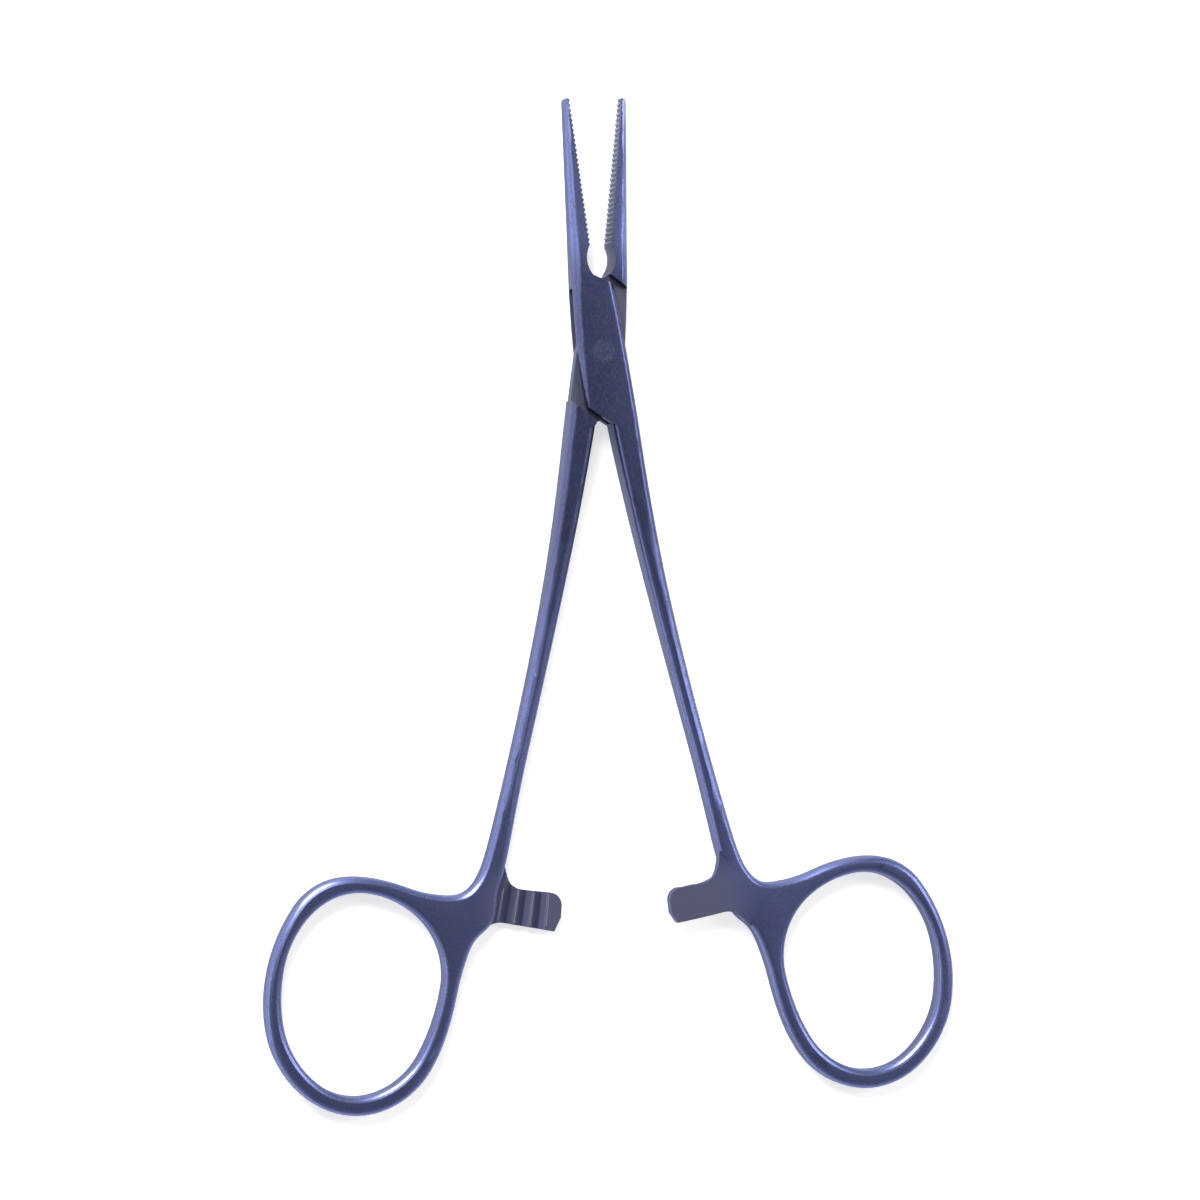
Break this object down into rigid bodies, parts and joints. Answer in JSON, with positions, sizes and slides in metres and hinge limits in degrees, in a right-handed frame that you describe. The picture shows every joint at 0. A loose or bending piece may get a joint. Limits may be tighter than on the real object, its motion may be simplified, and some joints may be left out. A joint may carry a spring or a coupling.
{
  "type": "hemostat forceps",
  "caption": "Straight ring-handled hemostat forceps with box lock, serrated slender jaws and ratchet arms, blue-finished, half open.",
  "frame": {"origin": "pivot axis of the box lock, at the lock's back face", "axes": "+Y along the centre line towards the jaw tips, +Z along the pivot away from the surface it lies on, +X towards the ring of the female half"},
  "size_m": [0.087, 0.1224, 0.0042],
  "materials": {
    "female_half": "satin blue coat",
    "male_half": "satin blue coat",
    "pivot_pin": "satin blue coat"
  },
  "bodies": {
    "female_half": {"female_half": "female_half", "pivot_pin": "pivot_pin"},
    "male_half": {"male_half": "male_half"}
  },
  "joints": [
    {"name": "lock_pivot", "type": "hinge", "parent": "female_half", "child": "male_half", "pos_m": [0, 0, 0], "axis": [0, 0, -1], "range_deg": [-12.2, 68]}
  ]
}
